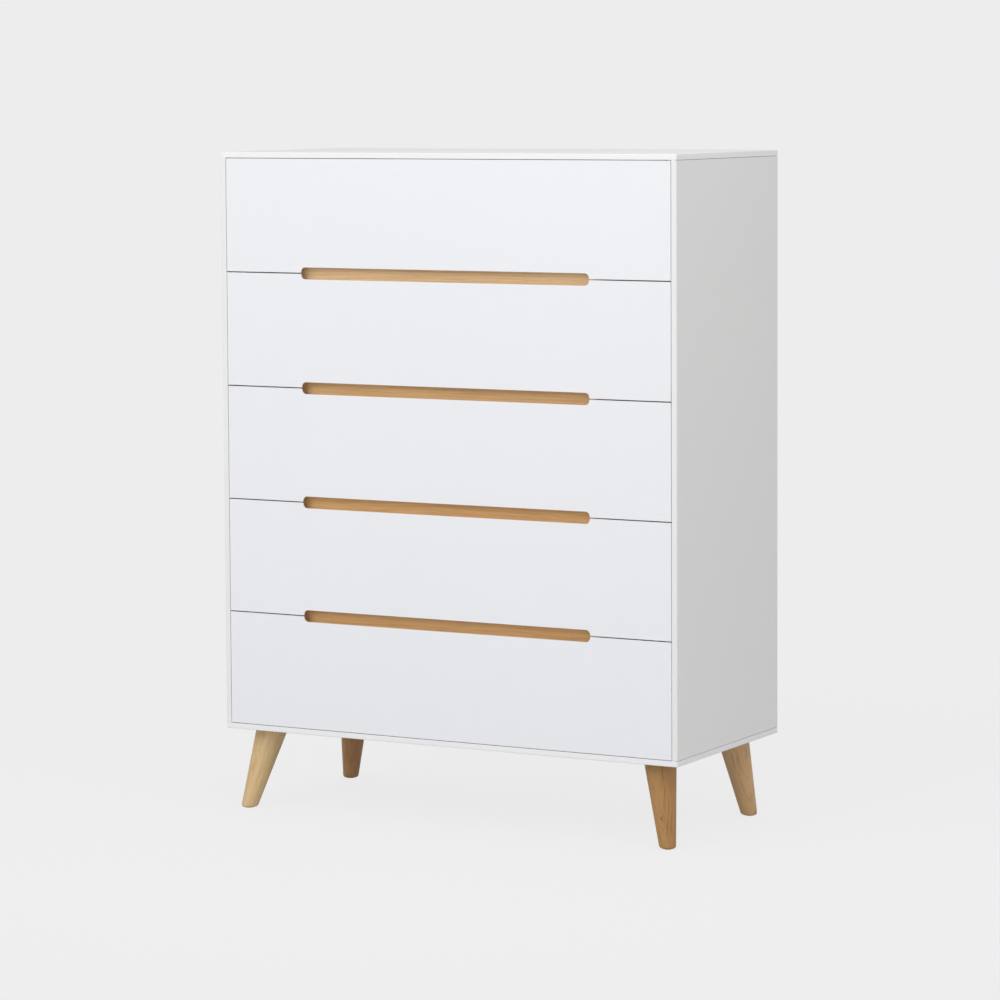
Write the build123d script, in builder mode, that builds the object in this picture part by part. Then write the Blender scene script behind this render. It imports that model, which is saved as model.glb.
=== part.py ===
"""Tall chest of five drawers: lacquered carcass, oak grip bars, splayed turned legs.

Millimetres.  +Z is up, the drawers open towards -Y, and the origin is the middle of
the footprint on the floor.  Drawers, bays and grip bars are numbered from the top.
"""

from build123d import *
import math
import os

os.makedirs("parts", exist_ok=True)

# ---------------------------------------------------------------- overall sizes
body_width = 900.0
body_depth = 400.0
body_height = 1030.0
leg_height = 145.0
drawer_count = 5

# ---------------------------------------------------------------- carcass boards
board = 16.0              # top, bottom, side and rail thickness
edge = 10.0               # what the rebates leave of a board at its front and over an end
edge_round = 1.0          # eased outer edges
back_thickness = 4.0
back_inset = 8.0          # back panel's rear face, in from the carcass's rear face
back_rebate = 9.0         # width of the rebate that takes the back panel
back_clearance = 0.5      # round the back panel in its rebate
rail_height = 36.0

# ---------------------------------------------------------------- drawer fronts
front_thickness = 16.0
gap = 2.0                 # between the fronts
rim_gap = 1.0             # round the set of fronts
front_clearance = 1.5     # behind a closed front
slot_length = 570.0
slot_height = 21.0
slot_radius = 8.0         # corners of the finger slot
slot_land = 3.0           # thickness of the slot's rim at the face
slot_undercut = 12.0      # how much the slot widens behind its rim

# ---------------------------------------------------------------- grip bars
grip_thickness = 18.0
cove_margin = 3.0         # flat left over and under the finger cove
cove_depth = 7.0

# ---------------------------------------------------------------- drawer boxes
box_board = 12.0
box_below = 14.0          # from the rail underneath to the box
box_above = 12.0          # from the box to the rail over it
box_behind = 17.0         # from the box to the back panel
bottom_thickness = 4.0
bottom_lift = 10.0        # from the box's lower edge to its bottom panel
groove_depth = 6.0
groove_clearance = 0.2
rim_round = 2.0           # top edges of the box boards

# ---------------------------------------------------------------- drawer slides
slide_space = 12.7        # between a side panel and a drawer box
slide_steel = 1.2
slide_setback = 2.0       # from the front shoulder to the slide's front end
slide_behind = 18.5       # from the slide's rear end to the back panel
slide_lift = 60.0         # slide's centre line above the box's lower edge
slide_web_gap = 1.0       # between the webs of two members
slide_ball = 3.8          # race between the flanges of two members
cabinet_member_height = 45.0
cabinet_member_reach = 9.0
middle_member_reach = 10.9

# ---------------------------------------------------------------- legs
leg_top_radius = 28.0
leg_foot_radius = 14.0
leg_inset_x = 61.0        # leg's centre at the underside, in from the side
leg_inset_y = 57.5        # and in from the front or the back
front_splay_x = 12.0      # degrees outwards, seen from the front
front_splay_y = 13.0      # degrees forwards, seen from the side
rear_splay_x = 9.0
rear_splay_y = 8.5
foot_round = 4.5
glide_radius = 8.0
glide_thickness = 1.0

# ---------------------------------------------------------------- fasteners
bore_clearance = 0.15     # radial, round every fastener
bore_end = 0.5            # past a fastener's blind end
cam_radius = 7.5
cam_length = 12.0
cam_recess = 0.3          # cam's face under the board's surface
cam_setback = 34.0        # cam's centre from the end of its board
cam_reach = 3.0           # bolt's tip past the cam's centre
cam_inset = 60.0          # corner cams in from the carcass's front and rear faces
cam_bolt_radius = 3.0
cam_thread = 8.0          # bolt's thread in the other board
leg_bolt_radius = 4.0
leg_bolt_depth = 38.0
nut_radius = 5.5
nut_flange_radius = 10.0
nut_flange = 1.5
back_screw_radius = 1.5
back_screw_length = 16.0
back_screw_head_radius = 3.2
back_screw_head = 1.8
back_screw_corner = 45.0  # screws keep this far in from the back panel's corners
back_screws_across = 4
back_screws_up = 5
grip_screw_radius = 2.0
grip_screw_head_radius = 4.0
grip_screw_depth = 8.0    # thread in the grip bar
grip_screw_pitch = 330.0

# ---------------------------------------------------------------- derived places
half_width = body_width / 2
half_depth = body_depth / 2
body_bottom = leg_height
body_top = leg_height + body_height
inner_half = half_width - board                       # side panel's inner face
front_y = -half_depth                                 # fronts' face and carcass's front
front_back_y = front_y + front_thickness
shoulder_y = front_back_y + front_clearance           # front rebate's shoulder
back_y = half_depth - back_inset - back_thickness     # back panel's inner face
front_width = body_width - 2 * (edge + rim_gap)
front_height = (body_height - 2 * (edge + rim_gap) - (drawer_count - 1) * gap) / drawer_count
pitch = front_height + gap
rebate = board - edge
rail_y = shoulder_y + grip_thickness                  # rail's front face
box_height = pitch - rail_height - box_below - box_above
box_half = inner_half - slide_space                   # box side's outer face
box_inner_half = box_half - box_board
box_rear_y = back_y - box_behind
slide_front_y = shoulder_y + slide_setback
slide_rear_y = back_y - slide_behind
slide_length = slide_rear_y - slide_front_y
leg_x = half_width - leg_inset_x
leg_y = half_depth - leg_inset_y


def foot_place(side, end):
    """Middle of a leg's foot on the floor; `end` is -1 for the front legs and 1 for the rear."""
    lean_x = math.radians(front_splay_x if end < 0 else rear_splay_x)
    lean_y = math.radians(front_splay_y if end < 0 else rear_splay_y)
    return Vector(side * (leg_x + leg_height * math.tan(lean_x)),
                  end * (leg_y + leg_height * math.tan(lean_y)), 0)


def front_centre(number):
    """Height of the middle of drawer front `number`, counted from the top."""
    return body_top - edge - rim_gap - front_height / 2 - (number - 1) * pitch


def gap_centre(number):
    """Height of the gap under drawer front `number`."""
    return front_centre(number) - pitch / 2


def box_low(number):
    """Height of drawer box `number`'s lower edge."""
    return gap_centre(number) + rail_height / 2 + box_below


def save(piece, name):
    """Label a finished piece and write it to its own file."""
    piece.part.label = name
    export_step(piece.part, f"parts/{name}.step")


def pins(places, radius, length):
    """A group of round pins that stand on the given planes."""
    with BuildPart() as group:
        with Locations(*places):
            Cylinder(radius, length, align=(Align.CENTER, Align.CENTER, Align.MIN))
    return group.part


def discs(places, radius, length, face):
    """A group of discs across the given planes' X, their outer faces at `face`."""
    with BuildPart() as group:
        with Locations(*places):
            with Locations((face - length / 2, 0, 0)):
                Cylinder(radius, length, rotation=(0, 90, 0))
    return group.part


# ---------------------------------------------------------------- where fasteners go
# A cam joint is a plane at the cam's centre: Z runs along the bolt, X out of the board.
cam_joints = []
for side in (-1, 1):
    for y in (front_y + cam_inset, half_depth - cam_inset):
        x = side * (half_width - board / 2)
        for end, z in ((-1, body_bottom + edge), (1, body_top - edge)):
            centre = (x, y, z - end * cam_setback)
            cam_joints.append(Plane(centre, x_dir=(-side, 0, 0), z_dir=(0, 0, end)))
    for number in range(1, drawer_count):
        centre = (side * (inner_half - cam_setback), rail_y + board / 2, gap_centre(number))
        cam_joints.append(Plane(centre, x_dir=(0, 1, 0), z_dir=(side, 0, 0)))

leg_corners = {}
for side, across in ((-1, "left"), (1, "right")):
    for end, along in ((-1, "front"), (1, "rear")):
        leg_corners[f"{along}_{across}"] = (side, end)

# Each leg bolt stands in its leg, upright through the bottom panel.
leg_bolt_places = []
leg_bore_places = []
nut_places = []
for side, end in leg_corners.values():
    bolt_foot = Plane((side * leg_x, end * leg_y, body_bottom - leg_bolt_depth))
    leg_bolt_places.append(bolt_foot)
    leg_bore_places.append(bolt_foot.offset(-bore_end))
    nut_places.append(bolt_foot.offset(leg_bolt_depth + bore_end))

# Back panel screws run round its margin, into the rebate's shoulder.
back_half = half_width - board + back_rebate
back_low = body_bottom + board - back_rebate
back_high = body_top - board + back_rebate
screw_margin = back_rebate / 2
screw_span = 2 * (back_half - back_screw_corner)
screw_rise = back_high - back_low - 2 * back_screw_corner
back_screw_spots = []
for column in range(back_screws_across):
    x = screw_span * (column / (back_screws_across - 1) - 0.5)
    back_screw_spots += [(x, back_low + screw_margin), (x, back_high - screw_margin)]
for row in range(back_screws_up):
    z = back_low + back_screw_corner + screw_rise * row / (back_screws_up - 1)
    back_screw_spots += [(screw_margin - back_half, z), (back_half - screw_margin, z)]
back_screw_places = []
for x, z in back_screw_spots:
    origin = (x, back_y + back_thickness, z)
    back_screw_places.append(Plane(origin, x_dir=(1, 0, 0), z_dir=(0, -1, 0)))

# Grip screws go through each rail from behind.
grip_screw_places = []
for number in range(1, drawer_count):
    for x in (-grip_screw_pitch, 0, grip_screw_pitch):
        origin = (x, rail_y + board, gap_centre(number))
        grip_screw_places.append(Plane(origin, x_dir=(1, 0, 0), z_dir=(0, -1, 0)))

grip_screw_length = board + grip_screw_depth
grip_screw_head = grip_screw_head_radius - grip_screw_radius
cam_bolt_length = cam_setback + cam_thread
cam_face = board / 2 - cam_recess
leg_bolt_length = leg_bolt_depth + board

# ---------------------------------------------------------------- bores
# Every bore is its fastener with clearance; each board is cut by those that cross it.
bore_groups = [
    discs(cam_joints, cam_radius + bore_clearance, cam_length + cam_recess + bore_end, board / 2),
    pins(cam_joints, cam_bolt_radius + bore_clearance, cam_bolt_length + bore_end),
    pins(nut_places, nut_radius + bore_clearance, board),
    pins(back_screw_places, back_screw_radius + bore_clearance, back_screw_length + bore_end),
    pins(grip_screw_places, grip_screw_radius + bore_clearance, grip_screw_length + bore_end),
]
leg_bolt_bores = pins(leg_bore_places, leg_bolt_radius + bore_clearance,
                      leg_bolt_length + nut_flange + 2 * bore_end)
bore_groups.append(leg_bolt_bores)
with BuildPart() as grip_screw_sinks:
    with Locations(*grip_screw_places):
        Cone(grip_screw_head_radius + bore_clearance, grip_screw_radius + bore_clearance,
             grip_screw_head + bore_clearance, align=(Align.CENTER, Align.CENTER, Align.MIN))
bore_groups.append(grip_screw_sinks.part)


def cut_bores():
    """Cut every fastener bore that crosses the piece being built."""
    for group in bore_groups:
        add(group, mode=Mode.SUBTRACT)


# ---------------------------------------------------------------- top and bottom panels
for name, outer_z, inward in (("top_panel", body_top, -1), ("bottom_panel", body_bottom, 1)):
    with BuildPart() as panel:
        with Locations((0, 0, outer_z + inward * board / 2)):
            Box(body_width, body_depth, board)
        rounded = panel.edges().group_by(Axis.Z)[-1 if inward < 0 else 0]
        fillet(rounded + panel.edges().filter_by(Axis.Z), edge_round)
        rebate_z = outer_z + inward * (edge + rebate / 2)
        with Locations((-(half_width - board / 2), 0, rebate_z), (half_width - board / 2, 0, rebate_z)):
            Box(board, body_depth, rebate, mode=Mode.SUBTRACT)
        with Locations((0, (front_y + shoulder_y) / 2, rebate_z)):
            Box(body_width, shoulder_y - front_y, rebate, mode=Mode.SUBTRACT)
        with Locations((0, (back_y + half_depth) / 2, outer_z + inward * (board - back_rebate / 2))):
            Box(2 * back_half, half_depth - back_y, back_rebate, mode=Mode.SUBTRACT)
        cut_bores()
    save(panel, name)

# ---------------------------------------------------------------- side panels
side_height = body_height - 2 * edge
side_middle = body_bottom + body_height / 2
for side, across in ((-1, "left"), (1, "right")):
    with BuildPart() as side_panel:
        with Locations((side * (half_width - board / 2), 0, side_middle)):
            Box(board, body_depth, side_height)
        outer_face = side_panel.faces().sort_by(Axis.X)[0 if side < 0 else -1]
        fillet(outer_face.edges().filter_by(Axis.Z), edge_round)
        with Locations((side * (inner_half + rebate / 2), (front_y + shoulder_y) / 2, side_middle)):
            Box(rebate, shoulder_y - front_y, side_height, mode=Mode.SUBTRACT)
        with Locations((side * (inner_half + back_rebate / 2), (back_y + half_depth) / 2, side_middle)):
            Box(back_rebate, half_depth - back_y, side_height, mode=Mode.SUBTRACT)
        cut_bores()
    save(side_panel, f"side_panel_{across}")

# ---------------------------------------------------------------- back panel
with BuildPart() as back_panel:
    with Locations((0, back_y + back_thickness / 2, side_middle)):
        Box(2 * (back_half - back_clearance), back_thickness, back_high - back_low - 2 * back_clearance)
    cut_bores()
save(back_panel, "back_panel")

# ---------------------------------------------------------------- rails and grip bars
cove_half = rail_height / 2 - cove_margin
cove_radius = (cove_half ** 2 + cove_depth ** 2) / (2 * cove_depth)
for number in range(1, drawer_count):
    with BuildPart() as rail:
        with Locations((0, rail_y + board / 2, gap_centre(number))):
            Box(2 * inner_half, board, rail_height)
        cut_bores()
    save(rail, f"cross_rail_{number}")

    with BuildPart() as grip:
        with Locations((0, shoulder_y + grip_thickness / 2, gap_centre(number))):
            Box(2 * inner_half, grip_thickness, rail_height)
        with Locations((0, shoulder_y + cove_depth - cove_radius, gap_centre(number))):
            Cylinder(cove_radius, body_width, rotation=(0, 90, 0), mode=Mode.SUBTRACT)
        cut_bores()
    save(grip, f"grip_bar_{number}")

# ---------------------------------------------------------------- drawers
def slot_cutter(number):
    """The finger slot in the gap under front `number`, undercut from behind its rim."""
    centre = (0, gap_centre(number))
    wide = 2 * slot_undercut
    with BuildPart() as cutter:
        with BuildSketch(Plane.XZ.offset(half_depth + edge_round)):
            with Locations(centre):
                RectangleRounded(slot_length, slot_height, slot_radius)
        extrude(amount=-(slot_land + edge_round))
        with BuildSketch(Plane.XZ.offset(half_depth - slot_land)):
            with Locations(centre):
                RectangleRounded(slot_length, slot_height, slot_radius)
        with BuildSketch(Plane.XZ.offset(-front_back_y)):
            with Locations(centre):
                RectangleRounded(slot_length + wide, slot_height + wide, slot_radius + slot_undercut)
        loft()
    return cutter.part


def groove_cutter(number):
    """The room that drawer `number`'s bottom panel needs in its grooves."""
    with BuildPart() as cutter:
        with Locations((0, (bottom_front_y + bottom_rear_y) / 2, box_low(number) + bottom_lift)):
            Box(2 * (bottom_half + groove_clearance),
                bottom_rear_y - bottom_front_y + 2 * groove_clearance,
                bottom_thickness + 2 * groove_clearance,
                align=(Align.CENTER, Align.CENTER, Align.MIN))
    return cutter.part


bottom_half = box_inner_half + groove_depth - groove_clearance
bottom_front_y = front_back_y - groove_depth + groove_clearance
bottom_rear_y = box_rear_y - box_board + groove_depth - groove_clearance

for number in range(1, drawer_count + 1):
    box_middle = box_low(number) + box_height / 2
    groove = groove_cutter(number)

    with BuildPart() as front:
        with Locations((0, front_y + front_thickness / 2, front_centre(number))):
            Box(front_width, front_thickness, front_height)
        fillet(front.faces().sort_by(Axis.Y)[0].edges(), edge_round)
        if number > 1:
            add(slot_cutter(number - 1), mode=Mode.SUBTRACT)
        if number < drawer_count:
            add(slot_cutter(number), mode=Mode.SUBTRACT)
        add(groove, mode=Mode.SUBTRACT)
    save(front, f"drawer_front_{number}")

    for side, across in ((-1, "left"), (1, "right")):
        with BuildPart() as box_side:
            with Locations((side * (box_half - box_board / 2), (front_back_y + box_rear_y) / 2, box_middle)):
                Box(box_board, box_rear_y - front_back_y, box_height)
            fillet(box_side.edges().filter_by(Axis.Y).group_by(Axis.Z)[-1], rim_round)
            add(groove, mode=Mode.SUBTRACT)
        save(box_side, f"drawer_side_{across}_{number}")

    with BuildPart() as box_back:
        with Locations((0, box_rear_y - box_board / 2, box_middle)):
            Box(2 * box_inner_half, box_board, box_height)
        fillet(box_back.edges().filter_by(Axis.X).group_by(Axis.Z)[-1], rim_round)
        add(groove, mode=Mode.SUBTRACT)
    save(box_back, f"drawer_back_{number}")

    with BuildPart() as bottom:
        bottom_z = box_low(number) + bottom_lift + groove_clearance
        with Locations((0, (bottom_front_y + bottom_rear_y) / 2, bottom_z)):
            Box(2 * bottom_half, bottom_rear_y - bottom_front_y, bottom_thickness,
                align=(Align.CENTER, Align.CENTER, Align.MIN))
    save(bottom, f"drawer_bottom_{number}")

# ---------------------------------------------------------------- drawer slides
# Three nested steel channels a side; `web` and `tip` are measured in from the side panel.
middle_web = slide_steel + slide_web_gap
middle_member_height = cabinet_member_height - 2 * (slide_steel + slide_ball)
drawer_member_height = middle_member_height - 2 * (slide_steel + slide_ball)
drawer_tip = middle_web + slide_steel + slide_web_gap


def channel_pair(web, tip, height, numbers):
    """Left and right steel channels for the given drawers, open towards `tip`."""
    opening = math.copysign(slide_steel, tip - web)
    with BuildPart() as pair:
        for drawer in numbers:
            z = box_low(drawer) + slide_lift
            with BuildSketch(Plane.XZ.offset(-slide_rear_y)):
                with Locations(((web + tip) / 2 - inner_half, z)):
                    Rectangle(abs(tip - web), height)
                with Locations(((web + tip + opening) / 2 - inner_half, z)):
                    Rectangle(abs(tip - web) - slide_steel, height - 2 * slide_steel, mode=Mode.SUBTRACT)
            extrude(amount=slide_length)
        mirror(about=Plane.YZ)
    return pair


all_drawers = range(1, drawer_count + 1)
save(channel_pair(0, cabinet_member_reach, cabinet_member_height, all_drawers), "slide_cabinet_members")
for number in all_drawers:
    middle_pair = channel_pair(middle_web, middle_member_reach, middle_member_height, [number])
    save(middle_pair, f"slide_middle_members_{number}")
    drawer_pair = channel_pair(slide_space, drawer_tip, drawer_member_height, [number])
    save(drawer_pair, f"slide_drawer_members_{number}")

# ---------------------------------------------------------------- legs
for corner, (side, end) in leg_corners.items():
    top_centre = Vector(side * leg_x, end * leg_y, leg_height)
    axis = foot_place(side, end) - top_centre
    overrun = leg_top_radius
    taper = (leg_top_radius - leg_foot_radius) / axis.length
    with BuildPart() as leg:
        with Locations(Plane(top_centre - axis.normalized() * overrun, z_dir=axis)):
            Cone(leg_top_radius + taper * overrun, leg_foot_radius - taper * overrun,
                 axis.length + 2 * overrun, align=(Align.CENTER, Align.CENTER, Align.MIN))
        split(bisect_by=Plane.XY.offset(leg_height), keep=Keep.BOTTOM)
        split(bisect_by=Plane.XY.offset(glide_thickness), keep=Keep.TOP)
        fillet(leg.faces().sort_by(Axis.Z)[0].edges(), foot_round)
        cut_bores()
    save(leg, f"leg_{corner}")

with BuildPart() as glides:
    with Locations(*[foot_place(side, end) for side, end in leg_corners.values()]):
        Cylinder(glide_radius, glide_thickness, align=(Align.CENTER, Align.CENTER, Align.MIN))
save(glides, "foot_glides")

# ---------------------------------------------------------------- fasteners
with BuildPart() as leg_bolts:
    add(pins(leg_bolt_places, leg_bolt_radius, leg_bolt_length))
save(leg_bolts, "leg_bolts")

with BuildPart() as tee_nuts:
    with Locations(*nut_places):
        Cylinder(nut_radius, board - bore_end, align=(Align.CENTER, Align.CENTER, Align.MIN))
        with Locations((0, 0, board - bore_end)):
            Cylinder(nut_flange_radius, nut_flange, align=(Align.CENTER, Align.CENTER, Align.MIN))
    add(leg_bolt_bores, mode=Mode.SUBTRACT)
save(tee_nuts, "tee_nuts")

with BuildPart() as cam_locks:
    add(discs(cam_joints, cam_radius, cam_length, cam_face))
    add(pins(cam_joints, cam_bolt_radius + bore_clearance, cam_bolt_length), mode=Mode.SUBTRACT)
save(cam_locks, "cam_locks")

with BuildPart() as cam_bolts:
    add(pins(cam_joints, cam_bolt_radius, cam_bolt_length))
save(cam_bolts, "cam_bolts")

with BuildPart() as back_screws:
    with Locations(*back_screw_places):
        Cylinder(back_screw_radius, back_screw_length, align=(Align.CENTER, Align.CENTER, Align.MIN))
        Cylinder(back_screw_head_radius, back_screw_head, align=(Align.CENTER, Align.CENTER, Align.MAX))
save(back_screws, "back_screws")

with BuildPart() as grip_screws:
    with Locations(*grip_screw_places):
        Cylinder(grip_screw_radius, grip_screw_length, align=(Align.CENTER, Align.CENTER, Align.MIN))
        Cone(grip_screw_head_radius, grip_screw_radius, grip_screw_head,
             align=(Align.CENTER, Align.CENTER, Align.MIN))
save(grip_screws, "grip_screws")
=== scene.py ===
"""Looks of a tall chest of five drawers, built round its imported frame.

Metres.  +Z is up, the drawers open towards -Y and the origin is the middle of the
footprint on the floor.  Drawers, bays and grip bars are numbered from the top.
"""

import logging
import math
from contextlib import contextmanager
from dataclasses import dataclass
from enum import Enum
from functools import partialmethod
from typing import Callable, Iterable, Iterator, Sequence

import bmesh
import bpy
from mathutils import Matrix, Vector


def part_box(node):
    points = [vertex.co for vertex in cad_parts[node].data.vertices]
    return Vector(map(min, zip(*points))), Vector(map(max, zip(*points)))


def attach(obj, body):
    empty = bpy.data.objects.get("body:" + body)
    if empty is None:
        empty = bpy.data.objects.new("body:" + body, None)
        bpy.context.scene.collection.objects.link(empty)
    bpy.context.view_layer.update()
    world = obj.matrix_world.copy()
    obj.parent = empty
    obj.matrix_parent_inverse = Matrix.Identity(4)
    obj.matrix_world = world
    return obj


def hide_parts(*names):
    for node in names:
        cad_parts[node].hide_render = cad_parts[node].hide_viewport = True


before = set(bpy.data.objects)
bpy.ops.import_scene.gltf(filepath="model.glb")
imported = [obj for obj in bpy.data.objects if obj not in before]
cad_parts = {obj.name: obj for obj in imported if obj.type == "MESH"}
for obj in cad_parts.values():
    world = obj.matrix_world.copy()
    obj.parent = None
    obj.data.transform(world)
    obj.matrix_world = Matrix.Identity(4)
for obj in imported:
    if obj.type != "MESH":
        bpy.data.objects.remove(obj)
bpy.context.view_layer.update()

MM = 0.001
TOUCHING = 0.01 * MM
STRAIGHT = 0.999
SHARP = math.radians(35.0)
X_AXIS = Vector((1, 0, 0))
Y_AXIS = Vector((0, 1, 0))
Z_AXIS = Vector((0, 0, 1))
DRAWERS = range(1, 1 + sum(name.startswith("drawer_front_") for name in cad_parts))
GRIPS = DRAWERS[:-1]

log = logging.getLogger("chest")

Number = float | int
Colour = tuple[float, float, float]
Test = Callable[[Vector, Vector], bool]


class Pick(Enum):
    """What an edit operator acts on."""

    CORNERS = "VERT"
    EDGES = "EDGE"
    FACES = "FACE"


class Slot(Enum):
    """The record's material slots."""

    WHITE_LACQUER = "white_lacquer"
    FRONT_LACQUER = "front_lacquer"
    BOX_BOARD = "box_board"
    BACK_BOARD = "back_board"
    OAK = "oak"
    RUNNER_STEEL = "runner_steel"
    ZINC_STEEL = "zinc_steel"
    GLIDE_PLASTIC = "glide_plastic"


class Recess(Enum):
    """How a screw head meets its board."""

    PAN = "pan"
    SUNK = "sunk"


# ---------------------------------------------------------------- shader expressions
class Value:
    """A socket's number that takes part in expressions, each of which adds Math nodes."""

    def __init__(self, recipe: "Recipe", socket: bpy.types.NodeSocket) -> None:
        """Wrap an output socket of a recipe."""
        self.recipe = recipe
        self.socket = socket

    def math(self, operation: str, *others: "Value | Number") -> "Value":
        """Return a Math node's result.

        Args:
            operation: the Math node's operation.
            others: its second and third values.

        Returns:
            The node's output as a value.
        """
        sockets = dict(enumerate((self, *others)))
        return self.recipe.node("Math", {"operation": operation}, sockets)

    def __abs__(self) -> "Value":
        """Return the size without its sign."""
        return self.math("ABSOLUTE")

    def __rsub__(self, other: Number) -> "Value":
        """Return the difference from a number."""
        return self.recipe.node("Math", {"operation": "SUBTRACT"}, {0: other, 1: self})

    __add__ = __radd__ = partialmethod(math, "ADD")
    __sub__ = partialmethod(math, "SUBTRACT")
    __mul__ = __rmul__ = partialmethod(math, "MULTIPLY")
    __truediv__ = partialmethod(math, "DIVIDE")
    __pow__ = partialmethod(math, "POWER")
    least = partialmethod(math, "MINIMUM")
    most = partialmethod(math, "MAXIMUM")

    def ramp(self, start: Number, end: Number) -> "Value":
        """Return 0 at start and 1 at end, with a soft rise between them."""
        settings = {"interpolation_type": "SMOOTHSTEP"}
        return self.recipe.node("MapRange", settings, {0: self, 1: start, 2: end})


class Recipe:
    """A material's node tree, written as expressions."""

    def __init__(self, name: str) -> None:
        """Start an empty material with its shader and output."""
        self.material = bpy.data.materials.new(name)
        self.material.use_nodes = True
        self.tree = self.material.node_tree
        self.tree.nodes.clear()

    def feed(self, socket: bpy.types.NodeSocket, value: object) -> None:
        """Give a socket a value, or a link to another socket."""
        if isinstance(value, Value):
            self.tree.links.new(value.socket, socket)
        elif socket.type == "RGBA" and len(value) == 3:
            socket.default_value = (*value, 1.0)
        else:
            socket.default_value = value

    def node(self, kind: str, settings: dict | None = None, sockets: dict | None = None,
             out: int | str = 0) -> Value:
        """Add a node.

        Args:
            kind: the node's type, a texture's with its Tex, such as TexNoise.
            settings: its own settings, set before its sockets.
            sockets: values or links, by socket name or number.
            out: the output that is returned.

        Returns:
            That output as a value.
        """
        made = self.tree.nodes.new(f"ShaderNode{kind}")
        for key, setting in (settings or {}).items():
            setattr(made, key, setting)
        for key, value in (sockets or {}).items():
            self.feed(made.inputs[key], value)
        return Value(self, made.outputs[out])

    def place(self, centre: Sequence[float] = (0, 0, 0), turn: Sequence[float] = (0, 0, 0),
              stretch: Sequence[float] = (1, 1, 1)) -> Value:
        """Return object coordinates seen from a centre and a turn, then stretched."""
        here = self.node("TexCoord", out="Object")
        seen = self.node("Mapping", {"vector_type": "TEXTURE"}, {0: here, 1: centre, 2: turn})
        return self.stretched(seen, stretch)

    def stretched(self, point: Value, stretch: Sequence[float]) -> Value:
        """Return a point with each of its numbers multiplied."""
        return self.node("VectorMath", {"operation": "MULTIPLY"}, {0: point, 1: stretch})

    def parts(self, point: Value) -> tuple[Value, Value, Value]:
        """Return a point's three numbers."""
        split = self.node("SeparateXYZ", sockets={0: point}).socket.node
        return tuple(Value(self, socket) for socket in split.outputs)

    def noise(self, point: Value, scale: float, detail: float = 2.0, rough: float = 0.5) -> Value:
        """Return fractal noise from 0 to 1, about 0.5 on average."""
        sockets = {"Vector": point, "Scale": scale, "Detail": detail, "Roughness": rough}
        return self.node("TexNoise", sockets=sockets)

    def mix(self, share: Value | Number, first: Value | Colour, second: Value | Colour) -> Value:
        """Return a colour between two, by share."""
        return self.node("Mix", {"data_type": "RGBA"}, {0: share, 6: first, 7: second}, out=2)

    def shade(self, colour: Value | Colour, factor: Value | Number) -> Value:
        """Return a colour made lighter or darker."""
        return self.node("VectorMath", {"operation": "SCALE"}, {0: colour, 3: factor})

    def length(self, point: Value) -> Value:
        """Return how far a point is from the middle."""
        return self.node("VectorMath", {"operation": "LENGTH"}, {0: point}, out="Value")

    def bump(self, height: Value, depth: float) -> Value:
        """Return a normal for a height from 0 to 1 that stands `depth` metres."""
        return self.node("Bump", sockets={"Strength": 1.0, "Distance": depth, "Height": height})

    def surface(self, **sockets: object) -> bpy.types.Material:
        """Finish the material with its surface.

        Args:
            sockets: the surface's values or links, with _ for each space in their names.

        Returns:
            The material.
        """
        named = {key.replace("_", " "): value for key, value in sockets.items()}
        shader = self.node("BsdfPrincipled", sockets=named)
        self.node_output(shader)
        return self.material

    def node_output(self, shader: Value) -> None:
        """Link a shader to the material's output."""
        output = self.tree.nodes.new("ShaderNodeOutputMaterial")
        self.tree.links.new(shader.socket, output.inputs["Surface"])


# ---------------------------------------------------------------- finishes
class Finish:
    """A surface finish: a frozen set of choices that makes one material."""

    slot: Slot
    _made: dict["Finish", bpy.types.Material] = {}

    def material(self) -> bpy.types.Material:
        """Return this finish's material, made once."""
        if self not in self._made:
            self._made[self] = self.mixed(Recipe(f"{self.slot.value}_{len(self._made) + 1}"))
        return self._made[self]

    def mixed(self, recipe: Recipe) -> bpy.types.Material:
        """Build the material from an empty recipe."""
        raise NotImplementedError


@dataclass(frozen=True)
class Lacquer(Finish):
    """Satin sprayed lacquer over fibreboard, with a faint orange peel."""

    slot: Slot = Slot.WHITE_LACQUER
    colour: Colour = (0.80, 0.80, 0.81)
    sheen: float = 0.42
    peel_scale: float = 420.0
    peel_depth: float = 0.00004
    mottle: float = 0.012

    def mixed(self, recipe: Recipe) -> bpy.types.Material:
        """Build the lacquer: mottling, dust specks, peel and an uneven sheen."""
        here = recipe.place()
        cloud = recipe.noise(here, 3.1, 3.0, 0.55)
        fine = recipe.noise(here, 95.0, 2.0)
        specks = recipe.noise(here, 900.0, 1.0).ramp(0.74, 0.80)
        tone = 1 + (cloud - 0.5) * (2 * self.mottle) + (fine - 0.5) * self.mottle
        shaded = recipe.shade(recipe.mix(cloud, self.colour, self._warmer()), tone)
        colour = recipe.mix(specks * 0.05, shaded, (0.62, 0.60, 0.56))
        peel = recipe.noise(here, self.peel_scale, 2.0, 0.45)
        waves = recipe.noise(here, 14.0, 1.0)
        sheen = self.sheen + (fine - 0.5) * 0.06 + (cloud - 0.5) * 0.05 + specks * 0.1
        normal = recipe.bump(peel * 0.8 + waves * 0.2, self.peel_depth)
        return recipe.surface(Base_Color=colour, Roughness=sheen, Normal=normal,
                              Specular_IOR_Level=0.42, Coat_Weight=0.06, Coat_Roughness=0.3)

    def _warmer(self) -> Colour:
        """Return the lacquer where it has yellowed by a hair."""
        red, green, blue = self.colour
        return red, green * 0.998, blue * 0.990


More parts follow.
